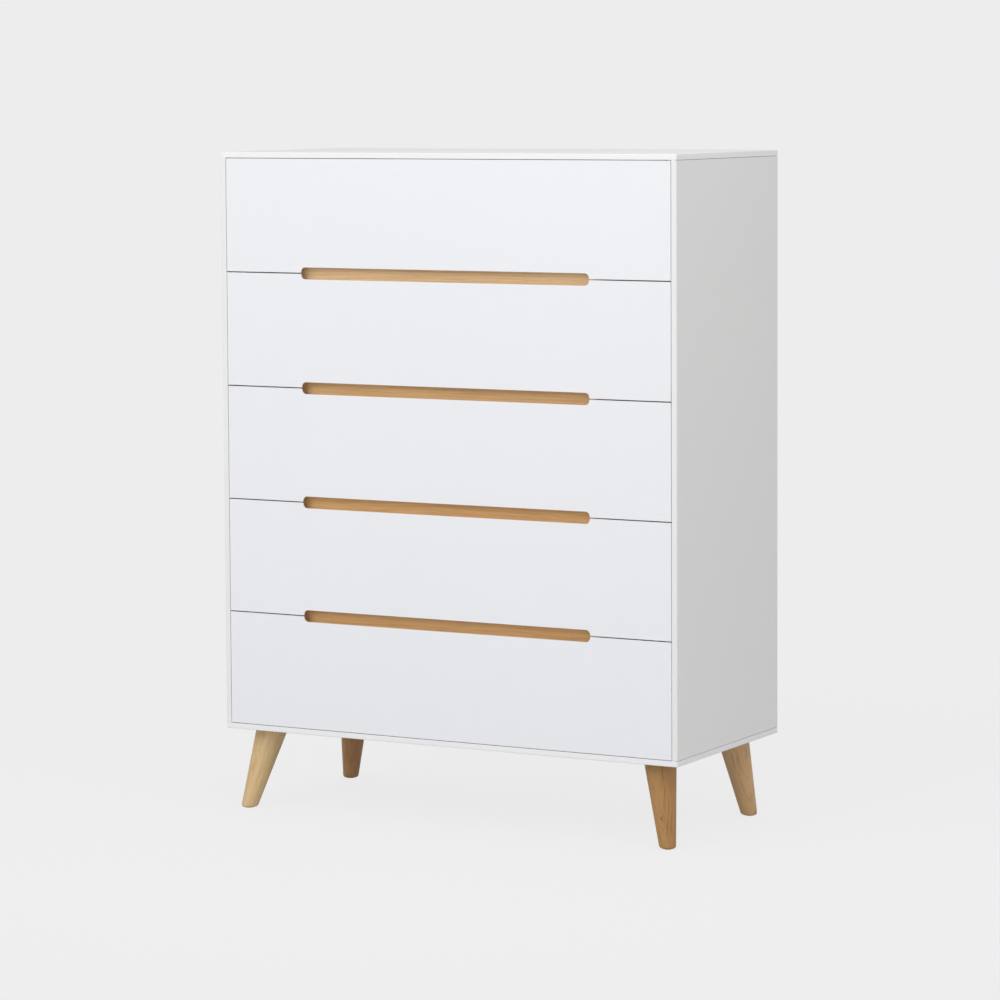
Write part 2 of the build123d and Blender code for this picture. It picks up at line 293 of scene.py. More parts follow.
@dataclass(frozen=True)
class FoilBoard(Finish):
    """Particle board in matt white foil with a fine embossed tooth."""

    slot: Slot = Slot.BOX_BOARD
    colour: Colour = (0.74, 0.74, 0.725)
    run: tuple[float, float, float] = (1.0, 0.12, 1.0)

    def mixed(self, recipe: Recipe) -> bpy.types.Material:
        """Build the foil: a fine tooth along the board and faint scuffs."""
        here = recipe.place(stretch=self.run)
        tooth = recipe.noise(here, 1500.0, 2.0, 0.6)
        lines = recipe.noise(here, 260.0, 3.0, 0.6)
        scuffs = recipe.noise(recipe.place(), 7.0, 4.0, 0.6).ramp(0.55, 0.8)
        tone = 0.985 + lines * 0.03
        colour = recipe.mix(scuffs * 0.12, recipe.shade(self.colour, tone),
                            (0.66, 0.655, 0.63))
        rough = 0.58 + scuffs * 0.1 - tooth * 0.06
        normal = recipe.bump(tooth * 0.6 + lines * 0.4, 0.00008)
        return recipe.surface(Base_Color=colour, Roughness=rough, Normal=normal, Specular_IOR_Level=0.35)


@dataclass(frozen=True)
class Hardboard(Finish):
    """Thin hardboard with a rolled white face in which pressed fibres show."""

    slot: Slot = Slot.BACK_BOARD
    colour: Colour = (0.70, 0.695, 0.68)
    fibre: Colour = (0.60, 0.575, 0.53)

    def mixed(self, recipe: Recipe) -> bpy.types.Material:
        """Build the board: long soft fibres and roller lines."""
        here = recipe.place()
        fibres = recipe.noise(recipe.stretched(here, (1.0, 1.0, 3.0)), 160.0, 4.0, 0.65)
        roller = recipe.noise(recipe.stretched(here, (1.0, 1.0, 0.02)), 300.0, 2.0)
        cloud = recipe.noise(here, 5.0, 2.0)
        share = fibres.ramp(0.45, 0.8) * 0.35 + cloud * 0.08
        colour = recipe.shade(recipe.mix(share, self.colour, self.fibre), 0.985 + roller * 0.03)
        rough = 0.55 + fibres * 0.2
        normal = recipe.bump(fibres * 0.7 + roller * 0.3, 0.00012)
        return recipe.surface(Base_Color=colour, Roughness=rough, Normal=normal, Specular_IOR_Level=0.35)


@dataclass(frozen=True)
class Knot:
    """A small pin knot: its place seen from the piece's middle, and its radius."""

    place: tuple[float, float, float]
    radius: float


@dataclass(frozen=True)
class Streak:
    """A sheet of darker or lighter wood along the grain, seen as a line down the piece."""

    angle: float
    offset: float
    width: float
    strength: float


@dataclass(frozen=True)
class Oak(Finish):
    """Solid oak in clear satin oil, with its grain along the piece's local Z."""

    slot: Slot = Slot.OAK
    centre: tuple[float, float, float] = (0.0, 0.0, 0.0)
    turn: tuple[float, float, float] = (0.0, 0.0, 0.0)
    pith: tuple[float, float] = (0.05, 0.07)
    tint: Colour = (1.0, 1.0, 1.0)
    light: Colour = (0.60, 0.425, 0.235)
    dark: Colour = (0.37, 0.215, 0.095)
    ring: float = 0.0042
    seed: float = 0.0
    contrast: float = 1.0
    knots: tuple[Knot, ...] = ()
    streaks: tuple[Streak, ...] = ()

    def mixed(self, recipe: Recipe) -> bpy.types.Material:
        """Build the oak: rings about the pith, bands, pores, ray flecks and knots."""
        here = recipe.place(self.centre, self.turn)
        shifted = recipe.node("VectorMath", {"operation": "ADD"},
                              {0: here, 1: (self.seed * 0.37, self.seed * 0.91, self.seed * 1.7)})
        across, deep, _ = recipe.parts(here)
        sway = recipe.noise(recipe.stretched(shifted, (1.0, 1.0, 0.16)), 26.0, 3.0, 0.5)
        twist = recipe.noise(recipe.stretched(shifted, (1.0, 1.0, 0.35)), 70.0, 2.0, 0.5)
        knot_dark, knot_bend = self._knots(recipe, here)
        out = ((across - self.pith[0]) ** 2 + (deep - self.pith[1]) ** 2) ** 0.5
        out = out + (sway - 0.5) * 0.020 + (twist - 0.5) * 0.0024 + knot_bend
        phase = (out / self.ring).math("FRACT")
        late = phase.ramp(0.35, 0.95) * (1 - phase.ramp(0.95, 1.0))
        early = 1 - phase.ramp(0.0, 0.3)
        bands = recipe.noise(recipe.stretched(shifted, (1.0, 1.0, 0.05)), 60.0, 2.0, 0.5)
        fibres = recipe.noise(recipe.stretched(shifted, (1.0, 1.0, 0.02)), 1100.0, 3.0, 0.6)
        pores = recipe.noise(recipe.stretched(shifted, (1.0, 1.0, 0.035)), 1700.0, 1.0).ramp(0.60, 0.70)
        flecks = recipe.noise(recipe.stretched(shifted, (1.0, 0.3, 0.12)), 420.0, 1.0).ramp(0.66, 0.76)
        pores = pores * (0.35 + early * 0.65)
        streaks = recipe.noise(recipe.stretched(shifted, (1.0, 1.0, 0.03)), 330.0, 2.0, 0.6)
        share = (late * 0.20 + (bands - 0.42) * 0.75 + (streaks - 0.48) * 0.9 + (fibres - 0.5) * 0.50
                 + pores * 0.42 - flecks * 0.14)
        share = (share - 0.35) * self.contrast + 0.35 + knot_dark
        for streak in self.streaks:
            aside = across * math.cos(streak.angle) + deep * math.sin(streak.angle) + (sway - 0.5) * 0.006
            near = 1 - abs(aside - streak.offset).ramp(0.0, streak.width)
            share = share + near * streak.strength
        share = share.most(0.0).least(1.6)
        light, dark = (tuple(part * tint for part, tint in zip(colour, self.tint))
                       for colour in (self.light, self.dark))
        wood = recipe.mix(share, light, dark)
        rough = 0.50 + pores * 0.18 + (fibres - 0.5) * 0.14 - flecks * 0.08
        height = fibres * 0.45 + (1 - pores) * 0.40 + (1 - late) * 0.15
        normal = recipe.bump(height, 0.00016)
        return recipe.surface(Base_Color=wood, Roughness=rough, Normal=normal,
                              Specular_IOR_Level=0.40, Coat_Weight=0.05, Coat_Roughness=0.35)

    def _knots(self, recipe: Recipe, here: Value) -> tuple[Value | float, Value | float]:
        """Return how much the knots darken the wood and push its rings aside."""
        dark: Value | float = 0.0
        bend: Value | float = 0.0
        for knot in self.knots:
            away = recipe.node("VectorMath", {"operation": "SUBTRACT"}, {0: here, 1: knot.place})
            round_knot = recipe.stretched(away, (1.0, 1.0, 0.62))
            far = recipe.length(round_knot)
            core = 1 - far.ramp(knot.radius * 0.4, knot.radius)
            tail = recipe.stretched(away, (1.0, 1.0, 0.16))
            near = recipe.length(tail)
            halo = 1 - near.ramp(0.0, knot.radius * 3.2)
            dark = core * 1.2 + halo * 0.30 + dark
            bend = halo * (knot.radius * 2.2) + bend
        return dark, bend


@dataclass(frozen=True)
class RolledSteel(Finish):
    """Zinc plated strip, rolled along Y, with faint spangle and rub marks."""

    slot: Slot = Slot.RUNNER_STEEL
    colour: Colour = (0.62, 0.635, 0.66)
    rub: Colour = (0.74, 0.75, 0.77)

    def mixed(self, recipe: Recipe) -> bpy.types.Material:
        """Build the steel: roller lines, spangle and bright rubbed tracks."""
        here = recipe.place()
        lines = recipe.noise(recipe.stretched(here, (1.0, 0.01, 1.0)), 2400.0, 2.0)
        spangle = recipe.noise(here, 120.0, 2.0, 0.7)
        tracks = recipe.noise(recipe.stretched(here, (1.0, 0.02, 1.0)), 420.0, 1.0).ramp(0.55, 0.7)
        colour = recipe.shade(recipe.mix(tracks * 0.5, self.colour, self.rub), 0.93 + spangle * 0.14)
        rough = 0.36 + (spangle - 0.5) * 0.2 - tracks * 0.08
        normal = recipe.bump(lines * 0.7 + spangle * 0.3, 0.00003)
        return recipe.surface(Base_Color=colour, Metallic=1.0, Roughness=rough, Normal=normal)


@dataclass(frozen=True)
class ZincFastener(Finish):
    """Bright zinc plating on screws, cams and bolts."""

    slot: Slot = Slot.ZINC_STEEL
    colour: Colour = (0.66, 0.67, 0.68)
    stain: Colour = (0.50, 0.47, 0.40)

    def mixed(self, recipe: Recipe) -> bpy.types.Material:
        """Build the plating: a mottled passivated skin with fine pits."""
        here = recipe.place()
        skin = recipe.noise(here, 330.0, 3.0, 0.6)
        pits = recipe.noise(here, 2600.0, 1.0).ramp(0.62, 0.75)
        colour = recipe.mix(skin.ramp(0.45, 0.8) * 0.4, self.colour, self.stain)
        rough = 0.30 + skin * 0.16 + pits * 0.15
        return recipe.surface(Base_Color=colour, Metallic=1.0, Roughness=rough,
                              Normal=recipe.bump(1 - pits, 0.00003))


@dataclass(frozen=True)
class GlidePlastic(Finish):
    """Matt moulded plastic of the glides under the feet."""

    slot: Slot = Slot.GLIDE_PLASTIC
    colour: Colour = (0.20, 0.17, 0.145)
    worn: Colour = (0.32, 0.29, 0.26)

    def mixed(self, recipe: Recipe) -> bpy.types.Material:
        """Build the plastic: spark eroded texture, worn paler underneath."""
        here = recipe.place()
        texture = recipe.noise(here, 1800.0, 2.0, 0.7)
        scuffs = recipe.noise(recipe.stretched(here, (1.0, 0.1, 1.0)), 700.0, 2.0).ramp(0.52, 0.7)
        _, _, height = recipe.parts(here)
        under = 1 - height.ramp(0.0001, 0.0006)
        colour = recipe.mix(scuffs * 0.3 + under * 0.35, self.colour, self.worn)
        return recipe.surface(Base_Color=colour, Roughness=0.62 + texture * 0.2,
                              Normal=recipe.bump(texture, 0.00006), Specular_IOR_Level=0.4)


# ---------------------------------------------------------------- the bench
def deselect() -> None:
    """Leave no object selected."""
    bpy.ops.object.select_all(action="DESELECT")


class Piece:
    """A mesh on the bench, shaped with edit mode operators."""

    def __init__(self, name: str) -> None:
        """Take the object that was just made, and put its place into its mesh."""
        self.thing = bpy.context.object
        self.thing.name = name
        self.thing.data.name = name
        bpy.ops.object.transform_apply(location=True, rotation=True, scale=True)

    @classmethod
    def block(cls, name: str, low: Sequence[float], high: Sequence[float]) -> "Piece":
        """Start from a block between two corners."""
        deselect()
        low, high = Vector(low), Vector(high)
        bpy.ops.mesh.primitive_cube_add(size=1.0, location=(low + high) / 2, scale=high - low)
        return cls(name)

    @classmethod
    def round_bar(cls, name: str, start: Sequence[float], end: Sequence[float], radius: float,
                  end_radius: float | None = None, sides: int = 32) -> "Piece":
        """Start from a round bar or a taper.

        Args:
            name: the piece's name.
            start: the middle of its first end.
            end: the middle of its other end.
            radius: its radius at the first end.
            end_radius: its radius at the other end, if it tapers.
            sides: how many flats stand for the round.

        Returns:
            The piece.
        """
        deselect()
        start, end = Vector(start), Vector(end)
        run = end - start
        bpy.ops.mesh.primitive_cone_add(
            vertices=sides, radius1=radius, radius2=radius if end_radius is None else end_radius,
            depth=run.length, location=(start + end) / 2,
            rotation=Z_AXIS.rotation_difference(run).to_euler())
        return cls(name)

    @classmethod
    def ball(cls, name: str, centre: Sequence[float], radius: float) -> "Piece":
        """Start from a small ball."""
        deselect()
        bpy.ops.mesh.primitive_ico_sphere_add(subdivisions=2, radius=radius, location=centre)
        return cls(name)

    @contextmanager
    def editing(self) -> Iterator[None]:
        """Open the piece in edit mode."""
        self.choose()
        bpy.ops.object.mode_set(mode="EDIT")
        yield
        bpy.ops.object.mode_set(mode="OBJECT")

    def choose(self) -> None:
        """Select this piece alone and make it active."""
        deselect()
        self.thing.select_set(True)
        bpy.context.view_layer.objects.active = self.thing

    def pick(self, kind: Pick, test: Test) -> None:
        """Select what passes a test, in edit mode.

        Args:
            kind: corners, edges or faces.
            test: takes the middle, and the normal or an edge's direction.
        """
        bpy.ops.mesh.select_mode(type=kind.value)
        bpy.ops.mesh.select_all(action="DESELECT")
        shape = bmesh.from_edit_mesh(self.thing.data)
        if kind is Pick.FACES:
            found = [f for f in shape.faces if test(f.calc_center_median(), f.normal)]
        elif kind is Pick.EDGES:
            found = [e for e in shape.edges if test(*self._line(e))]
        else:
            found = [v for v in shape.verts if test(v.co, v.normal)]
        for part in found:
            part.select_set(True)
        bmesh.update_edit_mesh(self.thing.data)

    @staticmethod
    def _line(edge: bmesh.types.BMEdge) -> tuple[Vector, Vector]:
        """Return an edge's middle and direction."""
        first, second = (corner.co for corner in edge.verts)
        return (first + second) / 2, (second - first).normalized()

    def score(self, point: Sequence[float], normal: Vector, drop_front: bool = False) -> None:
        """Cut round the piece by a plane, and drop and close what lies in front of it if asked."""
        with self.editing():
            bpy.ops.mesh.select_all(action="SELECT")
            bpy.ops.mesh.bisect(plane_co=point, plane_no=normal, use_fill=drop_front, clear_outer=drop_front)

    def shift(self, test: Test, by: Sequence[float]) -> None:
        """Move the corners that pass a test."""
        with self.editing():
            self.pick(Pick.CORNERS, test)
            bpy.ops.transform.translate(value=by)

    def swell(self, test: Test, factors: Sequence[float], centre: Sequence[float]) -> None:
        """Scale the corners that pass a test about a centre."""
        with self.editing():
            self.pick(Pick.CORNERS, test)
            bpy.ops.transform.resize(value=factors, center_override=centre)

    def pull(self, test: Test, by: Sequence[float]) -> None:
        """Extrude the faces that pass a test."""
        with self.editing():
            self.pick(Pick.FACES, test)
            bpy.ops.mesh.extrude_region_move(TRANSFORM_OT_translate={"value": by})

    def inset(self, test: Test, width: float, depth: float = 0.0) -> None:
        """Inset the faces that pass a test, and sink or raise what is inside."""
        with self.editing():
            self.pick(Pick.FACES, test)
            bpy.ops.mesh.inset(thickness=width, depth=depth)

    def ease(self, test: Test, width: float, segments: int = 4) -> None:
        """Round the edges that pass a test."""
        with self.editing():
            self.pick(Pick.EDGES, test)
            bpy.ops.mesh.bevel(offset=width, segments=segments, affect="EDGES", clamp_overlap=True)

    def modify(self, kind: str, **settings: object) -> None:
        """Add a modifier, set it and apply it."""
        self.choose()
        modifier = self.thing.modifiers.new(kind.lower(), kind)
        for key, value in settings.items():
            setattr(modifier, key, value)
        bpy.ops.object.modifier_apply(modifier=modifier.name)

    def carve(self, cutter: "Piece") -> None:
        """Cut another piece out of this one, and use it up."""
        self.modify("BOOLEAN", operation="DIFFERENCE", solver="EXACT", object=cutter.thing)
        cutter.scrap()

    def scrap(self) -> None:
        """Take the piece off the bench."""
        bpy.data.objects.remove(self.thing)

    def carve_block(self, low: Sequence[float], high: Sequence[float]) -> None:
        """Cut a block out of this piece."""
        self.carve(Piece.block("cutter", low, high))

    def soften(self, width: float = 0.0, segments: int = 2) -> None:
        """Break every sharp edge by `width`, and shade what is left smoothly."""
        if width:
            self.modify("BEVEL", width=width, segments=segments, limit_method="ANGLE",
                        angle_limit=SHARP, use_clamp_overlap=True)
        self.choose()
        bpy.ops.object.shade_smooth_by_angle(angle=SHARP)
        self.modify("WEIGHTED_NORMAL", keep_sharp=True)

    def copy(self, name: str, by: Sequence[float] = (0, 0, 0)) -> "Piece":
        """Return a copy with its own mesh, moved."""
        self.choose()
        bpy.ops.object.duplicate(linked=False)
        bpy.ops.transform.translate(value=by)
        return Piece(name)

    def mirrored(self, name: str) -> "Piece":
        """Return a copy mirrored left to right, with its normals outwards."""
        self.choose()
        bpy.ops.object.duplicate(linked=False)
        bpy.context.object.scale.x = -1.0
        other = Piece(name)
        with other.editing():
            bpy.ops.mesh.select_all(action="SELECT")
            bpy.ops.mesh.normals_make_consistent(inside=False)
        return other

    def join(self, others: Iterable["Piece"], name: str | None = None) -> "Piece":
        """Join other pieces into this one, and rename it if asked."""
        self.choose()
        for other in others:
            other.thing.select_set(True)
        bpy.ops.object.join()
        self.thing.name = name or self.thing.name
        return self

    def fit(self, finish: Finish, body: str, stands_for: Sequence[str] = ()) -> None:
        """Dress the finished piece, hang it on its body and report it.

        Args:
            finish: what it is finished in.
            body: the body that it moves with.
            stands_for: the frame's nodes that it replaces.
        """
        self.thing.data.materials.clear()
        self.thing.data.materials.append(finish.material())
        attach(self.thing, body)
        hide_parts(*stands_for)
        log.info("%s: %d faces, on %s", self.thing.name, len(self.thing.data.polygons), body)


def dress(node: str, finish: Finish) -> None:
    """Give one of the frame's own nodes its finish."""
    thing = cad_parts[node]
    thing.data.materials.clear()
    thing.data.materials.append(finish.material())
    log.info("%s: dressed", node)


def islands(node: str) -> list[tuple[Vector, Vector]]:
    """Return the lowest and highest corner of each separate solid in a frame node."""
    shape = bmesh.new()
    shape.from_mesh(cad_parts[node].data)
    bmesh.ops.remove_doubles(shape, verts=shape.verts, dist=1e-6)
    left, boxes = set(shape.verts), []
    while left:
        group, queue = set(), [left.pop()]
        while queue:
            corner = queue.pop()
            group.add(corner)
            near = {edge.other_vert(corner) for edge in corner.link_edges} & left
            left -= near
            queue.extend(near)
        lows, highs = ([pick(c.co[axis] for c in group) for axis in range(3)] for pick in (min, max))
        boxes.append((Vector(lows), Vector(highs)))
    shape.free()
    return sorted(boxes, key=lambda box: tuple(round(n, 5) for n in (*box[0], *box[1])))


def drawer_pitch() -> float:
    """Return how far each drawer is below the one above it."""
    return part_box("drawer_front_1")[0].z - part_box("drawer_front_2")[0].z


def along(axis: Vector) -> Test:
    """Return a test for edges that run along an axis."""
    return lambda _, way: abs(way.dot(axis)) > STRAIGHT


# ---------------------------------------------------------------- carcass
@dataclass
class Carcass:
    """The lacquered case: top, bottom, sides, back and the rails between the bays."""

    finish: Finish = Lacquer()
    # painted shade: the side panels take a darker copy of the carcass lacquer, standing in for the shade on
    # the sides
    shaded_side_finish: Finish = Lacquer(colour=(0.765, 0.762, 0.755))
    inside: Finish = Hardboard()
    board: float = 16 * MM
    edge: float = 10 * MM
    back_rebate: float = 9 * MM
    round_over: float = 1.5 * MM
    reveal: tuple[float, float] = (0.6 * MM, 3 * MM)
    seam: float = 0.35 * MM
    cam_room: float = 0.15 * MM

    def build(self) -> None:
        """Build every board of the case."""
        self.shoulder_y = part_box("grip_bar_1")[0].y
        self.back_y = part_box("back_panel")[0].y
        self._cap("top_panel", inward=-1)
        self._cap("bottom_panel", inward=1)
        for side, across in ((-1, "left"), (1, "right")):
            self._side(side, across)
        self._back()
        self._rails()

    def _cap(self, node: str, inward: int) -> None:
        """Build the top or the bottom, rebated over the sides, the fronts and the back."""
        low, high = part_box(node)
        outer = high.z if inward < 0 else low.z
        inner_half = high.x - self.board
        cap = Piece.block(f"lacquered_{node}", low, high)
        faces = sorted((outer + inward * self.edge, outer + inward * 2 * self.board))
        for side in (-1, 1):
            ends = sorted((side * inner_half, side * 2 * high.x))
            cap.carve_block((ends[0], 2 * low.y, faces[0]), (ends[1], 2 * high.y, faces[1]))
        cap.carve_block((-2 * high.x, 2 * low.y, faces[0]), (2 * high.x, self.shoulder_y, faces[1]))
        back_half = inner_half + self.back_rebate
        faces = sorted((outer + inward * (self.board - self.back_rebate), outer + inward * 2 * self.board))
        cap.carve_block((-back_half, self.back_y, faces[0]), (back_half, 2 * high.y, faces[1]))
        cap.ease(lambda middle, _: abs(middle.z - outer) < TOUCHING, self.round_over)
        corner_x, corner_y = high.x - self.round_over, high.y - self.round_over
        cap.ease(lambda middle, way: abs(way.z) > STRAIGHT and abs(middle.x) > corner_x
                 and abs(middle.y) > corner_y, self.round_over)
        cap.soften(self.seam)
        cap.fit(self.finish, "carcass", [node])

    def _side(self, side: int, across: str) -> None:
        """Build a side panel with its rebates and cam bores."""
        node = f"side_panel_{across}"
        low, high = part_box(node)
        inner = side * min(abs(low.x), abs(high.x))
        panel = Piece.block(f"lacquered_{node}", low, high)
        step = inner + side * (self.board - self.edge)
        edges = sorted((inner - side * self.board, step))
        panel.carve_block((edges[0], 2 * low.y, 0), (edges[1], self.shoulder_y, 2 * high.z))
        edges = sorted((inner - side * self.board, inner + side * self.back_rebate))
        panel.carve_block((edges[0], self.back_y, 0), (edges[1], 2 * high.y, 2 * high.z))
        for cam_low, cam_high in islands("cam_locks"):
            middle = (cam_low + cam_high) / 2
            if side * middle.x > abs(inner):
                radius = (cam_high.z - cam_low.z) / 2 + self.cam_room
                deep = middle.x + side * (cam_high.x - cam_low.x) / 2
                start, end = (deep, middle.y, middle.z), (inner - side * self.board, middle.y, middle.z)
                panel.carve(Piece.round_bar("cutter", start, end, radius))
        outer = side * max(abs(low.x), abs(high.x))
        gap, deep = self.reveal
        for top, bottom in ((2 * high.z, high.z - gap), (low.z + gap, 0)):
            edges = sorted((outer - side * deep, 2 * outer))
            panel.carve_block((edges[0], 2 * low.y, bottom), (edges[1], 2 * high.y, top))
        panel.ease(lambda middle, way: abs(way.z) > STRAIGHT and abs(middle.x - outer) < TOUCHING,
                   self.round_over)
        panel.soften(self.seam)
        # painted shade: the sides get the darker copy of the lacquer
        panel.fit(self.shaded_side_finish, "carcass", [node])

    def _back(self) -> None:
        """Build the back panel, with a margin inset round its faces."""
        low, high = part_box("back_panel")
        panel = Piece.block("hardboard_back_panel", low, high)
        panel.inset(lambda _, way: abs(way.y) > 0.99, 3 * MM)
        panel.soften(0.5 * MM)
        panel.fit(self.inside, "carcass", ["back_panel"])

    def _rails(self) -> None:
        """Build the rails behind the grip bars, with their cam bores and screw sinks."""
        first_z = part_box("cross_rail_1")[0].z
        low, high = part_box("cross_rail_1")
        model = Piece.block("rail_model", low, high)
        for cam_low, cam_high in islands("cam_locks"):
            middle = (cam_low + cam_high) / 2
            if abs(middle.z - (low.z + high.z) / 2) < self.edge:
                radius = (cam_high.x - cam_low.x) / 2 + self.cam_room
                start, end = (middle.x, cam_low.y - self.cam_room, middle.z), (middle.x, 2 * high.y, middle.z)
                model.carve(Piece.round_bar("cutter", start, end, radius))
        for screw_low, screw_high in islands("grip_screws"):
            middle = (screw_low + screw_high) / 2
            if abs(middle.z - (low.z + high.z) / 2) < self.edge:
                radius = (screw_high.x - screw_low.x) / 2 + self.cam_room
                start, end = (middle.x, high.y - radius / 2, middle.z), (middle.x, high.y + radius, middle.z)
                model.carve(Piece.round_bar("cutter", start, end, radius / 2, 2 * radius))
        model.soften(self.seam)
        for number in GRIPS:
            node = f"cross_rail_{number}"
            rail = model.copy(f"lacquered_{node}", (0, 0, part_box(node)[0].z - first_z))
            rail.fit(self.finish, "carcass", [node])
        model.scrap()


# ---------------------------------------------------------------- grip bars
@dataclass
class GripBars:
    """Oak bars behind the finger slots, each with a shallow cove for the fingertips."""

    cove_margin: float = 3 * MM
    cove_depth: float = 7 * MM
    cove_steps: int = 14
    arris: float = 0.8 * MM
    # painted light: the tints vary each bar's oak and also lift the top bar far above oak's own colour, the
    # other bars less, as if more light fell in the upper slots
    oak_and_light_tints: tuple[Colour, ...] = ((1.45, 1.42, 1.40), (1.27, 1.13, 0.94),
                                 (1.33, 1.12, 0.86), (1.23, 1.03, 0.78))

    def build(self) -> None:
        """Build the bar once and give each copy its own cut of oak, whose tint also paints light on it, the
        top bar lightest.
        """
        low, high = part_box("grip_bar_1")
        model = self._bar(low, high)
        for number, tint in zip(GRIPS, self.oak_and_light_tints):
            node = f"grip_bar_{number}"
            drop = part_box(node)[0].z - low.z
            centre = (low + high) / 2 + Vector((0, 0, drop))
            oak = Oak(centre=tuple(centre), turn=(0, math.pi / 2, 0), tint=tint, seed=3.1 * number,
                      pith=(0.09 - 0.01 * number, -0.05), ring=0.0052)
            model.copy(f"oak_{node}", (0, 0, drop)).fit(oak, "carcass", [node])
        model.scrap()

    def _bar(self, low: Vector, high: Vector) -> Piece:
        """Return the bar: a block scored along its face and pushed back in an arc."""
        bar = Piece.block("grip_model", low, high)
        middle, half = (low.z + high.z) / 2, (high.z - low.z) / 2 - self.cove_margin
        radius = (half ** 2 + self.cove_depth ** 2) / (2 * self.cove_depth)
        for step in range(self.cove_steps + 1):
            angle = (2 * step / self.cove_steps - 1) * math.asin(half / radius)
            height = middle + radius * math.sin(angle)
            depth = radius * math.cos(angle) - radius + self.cove_depth
            bar.score((0, 0, height), Z_AXIS)
            bar.shift(lambda place, _: abs(place.z - height) < TOUCHING and place.y < low.y + TOUCHING,
                      (0, depth, 0))
        bar.soften(self.arris, segments=3)
        return bar


# ---------------------------------------------------------------- legs
@dataclass
class Legs:
    """Turned tapered legs, splayed to their corners and cut level at both ends."""

    top_radius: float = 28 * MM
    foot_radius: float = 14 * MM
    inset_x: float = 61 * MM
    inset_y: float = 57.5 * MM
    front_splay: tuple[float, float] = (12.0, 13.0)
    rear_splay: tuple[float, float] = (9.0, 8.5)
    foot_round: float = 4.5 * MM
    top_round: float = 0.9 * MM
    sides: int = 96

    def build(self) -> None:
        """Build the four legs and their glides."""
        box_low, box_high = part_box("bottom_panel")
        self.height = box_low.z
        self.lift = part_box("foot_glides")[1].z
        woods = self._woods()
        for side, across in ((-1, "left"), (1, "right")):
            for end, row in ((-1, "front"), (1, "rear")):
                corner = f"{row}_{across}"
                top = Vector((side * (box_high.x - self.inset_x), end * (box_high.y - self.inset_y),
                              self.height))
                lean_x, lean_y = (math.tan(math.radians(lean))
                                  for lean in (self.front_splay if end < 0 else self.rear_splay))
                foot = top + self.height * Vector((side * lean_x, end * lean_y, -1))
                self._leg(corner, top, foot, woods[corner])
        self._glides()

    def _woods(self) -> dict[str, dict]:
        """Return what tells the four legs' oak apart, with a painted highlight down the front left leg."""
        knot = Knot((2.0 * MM, -18.6 * MM, -26 * MM), 2.4 * MM)
        towards_eye = 0.50
        split_line = Streak(towards_eye, 0.6 * MM, 1.2 * MM, 0.6)
        # painted highlight: a lighter band down the front left leg, left of its middle as seen, where the key
        # light falls on the round
        painted_highlight_band = Streak(towards_eye, -5 * MM, 5 * MM, -0.35)
        return {
            "front_left": {"tint": (1.07, 1.07, 0.99), "pith": (0.016, 0.10), "seed": 1.3, "ring": 0.0050,
                           "streaks": (painted_highlight_band,)},
            "front_right": {"tint": (0.66, 0.50, 0.30), "pith": (-0.004, 0.055), "seed": 7.9, "ring": 0.0046,
                            "contrast": 2.0, "knots": (knot,), "streaks": (split_line,)},
            "rear_left": {"tint": (0.72, 0.54, 0.40), "pith": (0.030, -0.06), "seed": 4.4, "ring": 0.0044,
                          "contrast": 1.8},
            "rear_right": {"tint": (0.97, 0.87, 0.76), "pith": (-0.050, 0.030), "seed": 11.2, "ring": 0.0038,
                           "contrast": 2.3},
        }

    def _leg(self, corner: str, top: Vector, foot: Vector, wood: dict) -> None:
        """Build a leg as a taper along its slant, cut level and rounded at the foot."""
        up = (top - foot).normalized()
        spare = up * self.top_radius
        taper = (self.top_radius - self.foot_radius) / (top - foot).length * self.top_radius
        leg = Piece.round_bar(f"turned_leg_{corner}", foot - spare, top + spare,
                              self.foot_radius - taper, self.top_radius + taper, self.sides)
        leg.score(top, Z_AXIS, drop_front=True)
        leg.score((0, 0, self.lift), -Z_AXIS, drop_front=True)
        for height, width, steps in ((self.lift, self.foot_round, 6), (self.height, self.top_round, 3)):
            leg.ease(lambda middle, way: abs(middle.z - height) < TOUCHING and abs(way.z) < 1e-3,
                     width, steps)
        leg.soften()
        turn = Z_AXIS.rotation_difference(up).to_euler()
        oak = Oak(centre=tuple((top + foot) / 2), turn=tuple(turn), **wood)
        leg.fit(oak, "carcass", [f"leg_{corner}"])

    def _glides(self) -> None:
        """Build the glides: discs with a rounded rim and a dimple for their nail."""
        glides = []
        for low, high in islands("foot_glides"):
            middle, radius = (low + high) / 2, (high.x - low.x) / 2
            foot = (middle.x, middle.y, low.z)
            glide = Piece.round_bar("glide", foot, (middle.x, middle.y, high.z), radius, sides=40)
            glide.ease(lambda place, way: place.z < middle.z and abs(way.z) < 1e-3, 0.5 * MM, 3)
            glide.inset(lambda _, way: way.z < -0.99, 5 * MM)
            glide.inset(lambda place, way: way.z < -0.99 and (place - Vector(foot)).length < 2 * MM,
                        1 * MM, -0.4 * MM)
            glide.soften()
            glides.append(glide)
        glides[0].join(glides[1:], "moulded_foot_glides").fit(GlidePlastic(), "carcass", ["foot_glides"])


